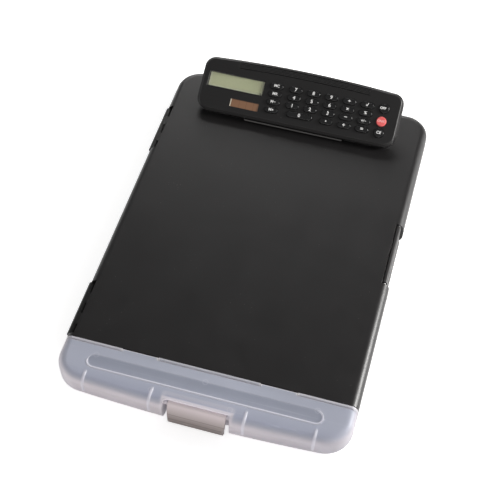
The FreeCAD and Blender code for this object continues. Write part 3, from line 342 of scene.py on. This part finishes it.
milky, tree, shader = new_finish("milky_polypropylene", IOR=1.49, Transmission_Weight=0.30,
                                 Specular_IOR_Level=0.35)
grain = use(tree, moulded_grain, {"Pits per metre": 2400})
marks = use(tree, handling, {"Scratches": 0.6})
edges = use(tree, soft_edges, {"Radius": 0.0005})
# Painted light: pale where the plastic is thick, found by looking into it.
inward = put(tree, "ShaderNodeAmbientOcclusion", {"Distance": 0.0032}, samples=12, inside=True,
             only_local=True)
thick_painted_light = ranged(tree, inward.outputs["AO"], 0, 1, 0.50, 0.78)
facing = split(tree, put(tree, "ShaderNodeNewGeometry").outputs["Normal"])
# Painted light: pale on walls that turn down from the flat, paler still on walls that face left.
turned_down_painted_light = ranged(tree, facing["Z"], 1, 0, 0.45, 0.88)
turned_left_painted_light = doing(tree, "MULTIPLY", ranged(tree, facing["X"], 1, 0, -0.45, -0.06),
                    ranged(tree, facing["Z"], 1, 0, 0.60, 0.985))
place = split(tree, place_in(tree))
off_centre = doing(tree, "ABSOLUTE", place["X"])
shaded_front = doing(tree, "MULTIPLY", ranged(tree, place["Y"], 1, 0, -0.171, -0.160),
                     ranged(tree, facing["Z"], 0, 1, 0.88, 0.97))
groove_y, groove_reach, groove_half = -0.1535, 0.0898, 0.0054
past_end = doing(tree, "MAXIMUM", doing(tree, "SUBTRACT", off_centre, groove_reach), 0.0)
up_groove = doing(tree, "SUBTRACT", place["Y"], groove_y)
from_spine = how_far(tree, past_end, up_groove)
# Painted shade in the groove, darkest over its rear half.
groove_painted_shade = doing(tree, "MULTIPLY", beyond(tree, from_spine, groove_half - 0.0004, 0.0006, False),
                     ranged(tree, up_groove, 0.30, 1, -0.0045, 0.0020))
# Painted highlight on the bead along the groove's front and its right end.
fore_side = most_of(tree, ranged(tree, up_groove, 1, 0, -0.0030, 0.0005),
                    ranged(tree, place["X"], 0, 1, 0.0885, 0.0925))
lip_painted_highlight = doing(tree, "MULTIPLY", within(tree, from_spine, groove_half - 0.0007, groove_half + 0.0008, 0.0004),
            doing(tree, "MULTIPLY", fore_side, beyond(tree, facing["Z"], 0.3, 0.2)))
notch_y, notch_half, notch_border, rise_y = -0.1701, 0.0270, 0.0019, -0.1660
# Painted highlight: a pale border round the latch's notch.
from_notch = most_of(tree, doing(tree, "SUBTRACT", off_centre, notch_half),
                     doing(tree, "SUBTRACT", place["Y"], notch_y))
notch_rim_painted_highlight = doing(tree, "MULTIPLY", beyond(tree, from_notch, notch_border, 0.0006, False),
                  beyond(tree, place["Y"], rise_y, 0.0004, False))
# Painted highlight on the ribs over the front edge.
rib_half = 0.0012
ribs_painted_highlight = most_of(tree, *[within(tree, off_centre, reach - rib_half, reach + rib_half, 0.0004)
                       for reach in (0.0380, 0.0930)])
ribs_painted_highlight = doing(tree, "MULTIPLY", ribs_painted_highlight, ranged(tree, place["Y"], 1, 0, rise_y, -0.1625))
# Painted light at the seam: pale strips outboard, and a pale line with bright spots as painted highlights.
seam_y, spot_half = -0.1368, 0.0014
seam_strip_painted_light = doing(tree, "MULTIPLY", beyond(tree, off_centre, 0.0718, 0.0003),
                   beyond(tree, place["Y"], seam_y - 0.0034, 0.0002))
seam_edge_painted_highlight = doing(tree, "MULTIPLY", beyond(tree, place["Y"], seam_y - 0.0014, 0.0003), 0.55)
for reach in (0.0418, 0.0718):
    highlight_spot = doing(tree, "MULTIPLY", within(tree, off_centre, reach - spot_half, reach + spot_half, 0.0004),
                 beyond(tree, place["Y"], seam_y - 0.0026, 0.0004))
    seam_edge_painted_highlight = most_of(tree, seam_edge_painted_highlight, highlight_spot)
# Painted shade: darker towards the right, to even out the right lamp.
painted_shade_lamp_side = ranged(tree, place["X"], 0, 1, 0.02, 0.11)
rings = most_of(tree, *[ring_mark(tree, place["X"], place["Y"], centre, 0.0021, 0.0005) for centre in (
    (-0.0385, -0.1660), (0.0250, -0.1660), (-0.0900, -0.1480), (0.0900, -0.1480), (0.0, -0.1480))])
lid_top_z, tray_rim_z = 0.0215, 0.0112
on_top = beyond(tree, place["Z"], lid_top_z, 0.0005)
on_lid = beyond(tree, place["Z"], tray_rim_z, 0.0002)
shaded_front, groove_painted_shade, lip_painted_highlight, seam_strip_painted_light, seam_edge_painted_highlight, rings = [
    doing(tree, "MULTIPLY", mask, on_top)
    for mask in (shaded_front, groove_painted_shade, lip_painted_highlight, seam_strip_painted_light, seam_edge_painted_highlight, rings)]
ribs_painted_highlight, notch_rim_painted_highlight = [doing(tree, "MULTIPLY", mask, on_lid) for mask in (ribs_painted_highlight, notch_rim_painted_highlight)]
milk = (0.47, 0.505, 0.585)
tree.links.new(tone(tree, milk, (grain["Patches"], 0.3, (0.52, 0.55, 0.64)),
                    (shaded_front, 0.6, (0.30, 0.33, 0.44)), (groove_painted_shade, 0.75, (0.27, 0.305, 0.375)),
                    (turned_down_painted_light, 0.8, (0.82, 0.74, 0.735)), (turned_left_painted_light, 0.8, (0.98, 0.93, 0.94)),
                    (thick_painted_light, 0.45, (0.86, 0.83, 0.85)), (notch_rim_painted_highlight, 0.75, (0.90, 0.84, 0.86)),
                    (painted_shade_lamp_side, 0.40, (0.30, 0.31, 0.36)), (rings, 0.35, (0.75, 0.75, 0.80)),
                    (seam_strip_painted_light, 0.5, (0.72, 0.71, 0.76)), (seam_edge_painted_highlight, 0.7, (0.90, 0.87, 0.86)),
                    (ribs_painted_highlight, 0.8, (0.93, 0.92, 0.97)), (lip_painted_highlight, 0.9, (0.93, 0.93, 0.99)),
                    (marks["Scratch"], 0.3, (0.8, 0.8, 0.84)), (edges["Rubbed"], 0.3, (0.9, 0.9, 0.93))),
               shader["Base Color"])
tree.links.new(ranged(tree, marks["Smudge"], 0.38, 0.52), shader["Roughness"])
tree.links.new(relief(tree, grain["Height"], 0.00002, edges["Normal"]), shader["Normal"])
lit_through(tree)
wear(milky, "pen_tray", "pen_lid")

# The latches: a smoky grey tab that turns down over the front, and a black flap on the right side. Both
# are moulded and snap over a catch. The tab has painted light, pale towards its top, and painted shade,
# dark at its foot. The two dark lines across it are painted shadows, as under grip ridges, and colour only.
smoky, tree, shader = new_finish("smoky_tab", IOR=1.5, Transmission_Weight=0.15)
grain = use(tree, moulded_grain, {"Pits per metre": 1800})
marks = use(tree, handling, {"Scratches": 1.0})
edges = use(tree, soft_edges, {"Radius": 0.0006})
height = split(tree, place_in(tree))["Z"]
# Painted shadows: two dark lines across the tab.
painted_ridge_shadows = most_of(tree, within(tree, height, 0.0128, 0.0133, 0.0002),
                      within(tree, height, 0.0094, 0.0099, 0.0002))
tree.links.new(tone(tree, (0.34, 0.29, 0.28), (grain["Patches"], 0.4, (0.40, 0.35, 0.34)),
                    # Painted light towards the top of the tab, painted shade at its foot.
                    (ranged(tree, height, 0, 1, 0.012, 0.0205), 0.9, (0.72, 0.64, 0.66)),
                    (ranged(tree, height, 1, 0, 0.0075, 0.0130), 0.8, (0.13, 0.105, 0.10)),
                    (painted_ridge_shadows, 0.6, (0.10, 0.08, 0.08)),
                    (marks["Scratch"], 0.3, (0.6, 0.56, 0.55)), (edges["Rubbed"], 0.4, (0.62, 0.58, 0.57))),
               shader["Base Color"])
tree.links.new(ranged(tree, marks["Smudge"], 0.30, 0.42), shader["Roughness"])
tree.links.new(relief(tree, grain["Height"], 0.00003, edges["Normal"]), shader["Normal"])
wear(smoky, "pen_latch")
wear(black_moulding("latch_black", (0.016, 0.015, 0.015), (0.035, 0.033, 0.033), (0.36, 0.46),
                    1300, 0.00002, 1), "side_latch")

# The paper clip: a plated steel bracket riveted to the board, and a jaw of coated steel that the
# calculator levers, with a rubber strip under it. A painted highlight runs along the jaw's front edge.
wear(bare_steel("plated_sheet", (0.62, 0.62, 0.63), (0.42, 0.41, 0.40), (90, 2200, 2200), (0.26, 0.40)),
     "clip_bracket", "clip_rivets", "jaw_screws", "calculator_screws")
jaw, lip_width = nodes["clip_jaw"], 0.0005
jaw_front = min((jaw.matrix_world @ Vector(corner)).y for corner in jaw.bound_box)


def jaw_lip_painted_highlight(tree):
    """A painted highlight: a pale line along the jaw's front edge, where it slides over the paper."""
    along = split(tree, place_in(tree))["Y"]
    return ((beyond(tree, along, jaw_front + lip_width, 0.0002, False), 0.8, (0.13, 0.127, 0.125)),)


wear(black_moulding("jaw_coat", (0.008, 0.008, 0.008), (0.02, 0.02, 0.02), (0.34, 0.44),
                    1300, 0.00002, 1, 0.5, jaw_lip_painted_highlight), "clip_jaw")
wear(black_moulding("pad_rubber", (0.02, 0.02, 0.02), (0.04, 0.04, 0.04), (0.7, 0.8),
                    900, 0.00004, 0.3), "jaw_pad")

# The calculator's shell: two halves of spark-grained ABS screwed together from below. Behind the display
# a band of the front half is ridged for the fingers that press the clip open; its ridges carry a painted
# highlight and its grooves painted shade, and a painted highlight runs down the face's right bevel. The
# sides and the rear rim are duller than the face.
key_origin, face_slope = (0, 0.1534, 0.0496), math.radians(29.5)
slope = Matrix.Translation(key_origin) @ Matrix.Rotation(face_slope, 4, "X")


def sloping(tree):
    """The place on the calculator's own face, for patterns that follow it."""
    moved = put(tree, "ShaderNodeVectorMath", {0: place_in(tree), 1: key_origin}, operation="SUBTRACT")
    return put(tree, "ShaderNodeVectorRotate",
               {"Vector": moved.outputs[0], "Axis": (1, 0, 0), "Angle": -face_slope}).outputs[0]


def stepped(tree, value, pitch):
    """Runs from 0 to 1 over each step of the pitch."""
    return doing(tree, "FRACT", doing(tree, "MULTIPLY", value, 1 / pitch))


grip_bow, grip_front, grip_rear, grip_half, ridge_pitch = 1.2122, 0.0108, 0.0170, 0.0621, 0.00124
bevel_inner, bevel_outer, side_start, rear_rim = 0.0911, 0.0915, 0.0918, 0.0165


def grip_painted_light(tree):
    """Painted highlights on the grip's bowed ridges and the right bevel, painted shade in its grooves and
    far rim.
    """
    across, along, out = split(tree, sloping(tree))
    up = doing(tree, "SUBTRACT", how_far(tree, across, doing(tree, "ADD", along, grip_bow)), grip_bow)
    band = doing(tree, "MULTIPLY", beyond(tree, doing(tree, "ABSOLUTE", across), grip_half, 0.0002, False),
                 within(tree, up, grip_front, grip_rear, 0.0001))
    phase = stepped(tree, doing(tree, "SUBTRACT", up, grip_front), ridge_pitch)
    from_ridge = doing(tree, "ABSOLUTE", doing(tree, "SUBTRACT", phase, 0.5))
    crest_painted_highlight = doing(tree, "MULTIPLY", ranged(tree, from_ridge, 0, 1, 0.22, 0.34),
                  beyond(tree, out, -0.0002, 0.0001))
    # high is the painted highlight on the crests, low the painted shade in the grooves and far rim.
    high = doing(tree, "MULTIPLY", band, crest_painted_highlight)
    low = doing(tree, "SUBTRACT", band, high)
    # Painted highlight along the face's right bevel.
    bevel_painted_highlight = doing(tree, "MULTIPLY", within(tree, across, bevel_inner, bevel_outer, 0.0002),
                       within(tree, along, -0.029, 0.012, 0.002))
    return ((low, 0.97, (0.0003, 0.0003, 0.0003)), (high, 0.85, (0.028, 0.0275, 0.028)),
            (bevel_painted_highlight, 0.6, (0.12, 0.12, 0.12)))


gleam, side_gleam = 0.32, 0.08
shell_black = black_moulding("shell_black", (0.0098, 0.0094, 0.0095), (0.018, 0.0174, 0.0177),
                             (0.42, 0.50), 2000, 0.00002, 0.8, gleam, grip_painted_light)
tree = shell_black.node_tree
shader = tree.nodes["Principled BSDF"].inputs
across, along, out = split(tree, sloping(tree))
sides = most_of(tree, beyond(tree, doing(tree, "ABSOLUTE", across), side_start, 0.0003),
                beyond(tree, along, rear_rim, 0.0010))
tree.links.new(ranged(tree, sides, gleam, side_gleam, 0, 1), shader["Specular IOR Level"])
wear(shell_black, "calculator_front_shell", "calculator_rear_shell", "battery_cover")

# The display: a liquid crystal panel, grey green and a little paler towards its border, behind a black
# printed frame and a clear window. The uprights of its unlit digits show very faintly. A painted highlight
# marks the left edge of the window.
panel, tree, shader = new_finish("crystal_panel", Roughness=0.35)
place = sloping(tree)
across, along = split(tree, place)[:2]
grain = put(tree, "ShaderNodeTexNoise", {"Vector": place, "Scale": 900, "Detail": 2}).outputs["Fac"]
cloud = put(tree, "ShaderNodeTexNoise", {"Vector": place, "Scale": 40, "Detail": 2}).outputs["Fac"]
frame_left, frame_right, frame_rear, frame_front = -0.0862, -0.0350, 0.0017, -0.0112
frame_mask = most_of(tree, beyond(tree, across, frame_left, 0.0002, False),
                     beyond(tree, across, frame_right, 0.0002),
                     beyond(tree, along, frame_rear, 0.0002),
                     beyond(tree, along, frame_front, 0.0002, False))
border = most_of(tree, beyond(tree, across, frame_left + 0.0012, 0.0008, False),
                 beyond(tree, across, frame_right - 0.0012, 0.0008),
                 beyond(tree, along, frame_front + 0.0010, 0.0007, False))
# Painted highlight: a thin grey line at the window's left wall.
glass_edge_painted_highlight = within(tree, across, frame_left - 0.0013, frame_left - 0.0010, 0.0001)
digit_width = 0.0048
phase = stepped(tree, across, digit_width)
away = doing(tree, "ABSOLUTE", doing(tree, "SUBTRACT", phase, 0.5))
uprights = doing(tree, "MULTIPLY", ranged(tree, away, 0, 1, 0.22, 0.26),
                 ranged(tree, away, 1, 0, 0.34, 0.38))
tree.links.new(tone(tree, (0.52, 0.555, 0.35), (grain, 0.25, (0.57, 0.605, 0.41)),
                    (cloud, 0.35, (0.58, 0.61, 0.40)), (uprights, 0.05, (0.3, 0.31, 0.22)),
                    (border, 0.35, (0.76, 0.80, 0.64)), (frame_mask, 0.95, (0.02, 0.02, 0.02)),
                    (glass_edge_painted_highlight, 0.7, (0.20, 0.20, 0.19))),
               shader["Base Color"])
wear(panel, "display_panel")
clear, tree, shader = new_finish("clear_window", Transmission_Weight=1.0, Roughness=0.03, IOR=1.49)
wear(clear, "display_window")
nodes["display_window"].visible_shadow = False

# The solar cell: brown amorphous silicon under glass, cut into four strips by hairlines. A cream strip
# along its left end is a painted highlight of its recess's left wall, and its rear edge has painted shade.
cell, tree, shader = new_finish("silicon_strips", Roughness=0.2, Coat_Weight=0.5)
place = sloping(tree)
across, along = split(tree, place)[:2]
strip_width = 0.0067
hairline = ranged(tree, stepped(tree, across, strip_width), 1, 0, 0.02, 0.03)
cloud = put(tree, "ShaderNodeTexNoise", {"Vector": place, "Scale": 120, "Detail": 3}).outputs["Fac"]
# Painted highlight: the cream strip at the left end. Painted shade along the rear edge.
left_end_painted_highlight = beyond(tree, across, -0.0612, 0.0001, False)
rear_shade = beyond(tree, along, -0.0201, 0.0002)
tree.links.new(tone(tree, (0.19, 0.092, 0.046), (cloud, 0.5, (0.24, 0.125, 0.066)),
                    (hairline, 0.6, (0.05, 0.02, 0.01)), (left_end_painted_highlight, 0.9, (0.62, 0.56, 0.44)),
                    (rear_shade, 0.7, (0.03, 0.02, 0.015))), shader["Base Color"])
wear(cell, "solar_cell")

# Inside the calculator: a silicone key sheet, a green circuit board with copper tracks under its lacquer,
# a striped rubber connector for the display, a button cell and its spring strips.
stripe_pitch, track_pitch = 0.0004, 0.00127


def rubber_stripes(tree):
    """Layers of black conducting rubber between pale ones."""
    phase = stepped(tree, split(tree, sloping(tree))["X"], stripe_pitch)
    return ((within(tree, phase, 0.25, 0.75, 0.06), 0.9, (0.01, 0.01, 0.01)),)


def copper_tracks(tree):
    """Tracks side by side that stop and start, with round pads scattered among them."""
    place = sloping(tree)
    phase = stepped(tree, split(tree, place)["Y"], track_pitch)
    rows = put(tree, "ShaderNodeMapping", {"Vector": place, "Scale": (60, 1 / track_pitch, 1)}).outputs[0]
    runs = put(tree, "ShaderNodeTexVoronoi", {"Vector": rows, "Scale": 1}).outputs["Color"]
    kept = put(tree, "ShaderNodeSeparateColor", {0: runs}).outputs[0]
    track = doing(tree, "MULTIPLY", within(tree, phase, 0.35, 0.65, 0.05), beyond(tree, kept, 0.45, 0.01))
    pads = put(tree, "ShaderNodeTexVoronoi", {"Vector": place, "Scale": 190}).outputs["Distance"]
    pad = beyond(tree, pads, 0.16, 0.02, False)
    return (track, 0.8, (0.05, 0.34, 0.13)), (pad, 0.9, (0.55, 0.50, 0.36))


for name, colour, pale, roughness, more, shown in (
        ("key_sheet_silicone", (0.35, 0.35, 0.36), (0.42, 0.42, 0.43), (0.6, 0.7), None, "keypad_membrane"),
        ("connector_rubber", (0.36, 0.34, 0.32), (0.42, 0.40, 0.38), (0.6, 0.7), rubber_stripes,
         "display_connector"),
        ("solder_mask", (0.02, 0.16, 0.06), (0.03, 0.24, 0.09), (0.3, 0.4), copper_tracks,
         "circuit_board")):
    wear(black_moulding(name, colour, pale, roughness, 900, 0.00002, 0.4, 0.4, more), shown)
wear(bare_steel("nickel_can", (0.7, 0.7, 0.69), (0.5, 0.5, 0.48), (700, 700, 700), (0.2, 0.35)),
     "button_cell")
wear(bare_steel("plated_brass", (0.7, 0.6, 0.35), (0.5, 0.42, 0.25), (90, 2200, 2200), (0.25, 0.4)),
     "battery_contacts")

# The keys: moulded rubber caps, 26 of them, each with its legend printed on top, in white or, on the one
# red cap, in pink. The print is a thin raised ink, slightly uneven and a little worn.
cap_black = black_moulding("cap_rubber", (0.0055, 0.0055, 0.0058), (0.012, 0.012, 0.0125), (0.22, 0.32),
                           1500, 0.00001, 0.6)
cap_red = black_moulding("red_cap_rubber", (0.68, 0.115, 0.112), (0.74, 0.16, 0.16), (0.22, 0.32),
                         1500, 0.00001, 0.6)
legends = {
    "7": "7", "8": "8", "9": "9", "divide": "\u00f7", "root": "\u221a",
    "4": "4", "5": "5", "6": "6", "multiply": "\u00d7", "percent": "%",
    "1": "1", "2": "2", "3": "3", "minus": "\u2212", "sign": "+/\u2212",
    "0": "0", "point": "\u00b7", "plus": "+", "equals": "=",
    "memory_clear": "MC", "memory_recall": "MR", "memory_minus": "M\u2212", "memory_plus": "M+",
    "off": "OFF", "on": "ON/C", "clear_entry": "CE"}
key_proud, ink_height, digit_size = 0.0013, 0.00002, 0.0044
print_swell, print_drop, off_shift = 0.03, 0.036, -0.0011
letter_size = {
    "point": 0.0077, "on": 0.00286, "off": 0.00319, "percent": 0.00374, "sign": 0.0033,
    "clear_entry": 0.00352,
    **dict.fromkeys(("divide", "multiply", "plus", "minus", "equals"), 0.00484),
    **dict.fromkeys(("memory_clear", "memory_recall", "memory_minus", "memory_plus"), 0.00352)}


def ink(name, colour):
    material, tree, shader = new_finish(name, Roughness=0.5, Specular_IOR_Level=0.3)
    worn = put(tree, "ShaderNodeTexNoise",
               {"Vector": place_in(tree), "Scale": 2600, "Detail": 3}).outputs["Fac"]
    tree.links.new(tone(tree, colour, (ranged(tree, worn, 0, 1, 0.55, 0.75), 0.35, (0.25, 0.25, 0.25))),
                   shader["Base Color"])
    return material


white_ink = ink("white_ink", (0.72, 0.72, 0.71))
pink_ink = ink("pink_ink", (0.82, 0.42, 0.42))
for key, legend in legends.items():
    node = nodes["key_" + key]
    wear(cap_red if key == "on" else cap_black, node.name)
    middle = sum((node.matrix_world @ Vector(corner) for corner in node.bound_box), Vector()) / 8
    flat = slope.inverted() @ middle
    letters = bpy.data.curves.new("print_" + key, "FONT")
    letters.body = legend
    letters.align_x = letters.align_y = "CENTER"
    letters.size = letter_size.get(key, digit_size)
    letters.extrude = ink_height
    letters.offset = letters.size * print_swell
    letters.resolution_u = 4
    letters.materials.append(pink_ink if key == "on" else white_ink)
    piece = bpy.data.objects.new("print_" + key, letters)
    aside = off_shift if key == "off" else 0
    drop = letters.size * print_drop
    piece.matrix_world = slope @ Matrix.Translation((flat.x + aside, flat.y - drop, key_proud))
    scene.collection.objects.link(piece)
    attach(piece, "key_" + key)
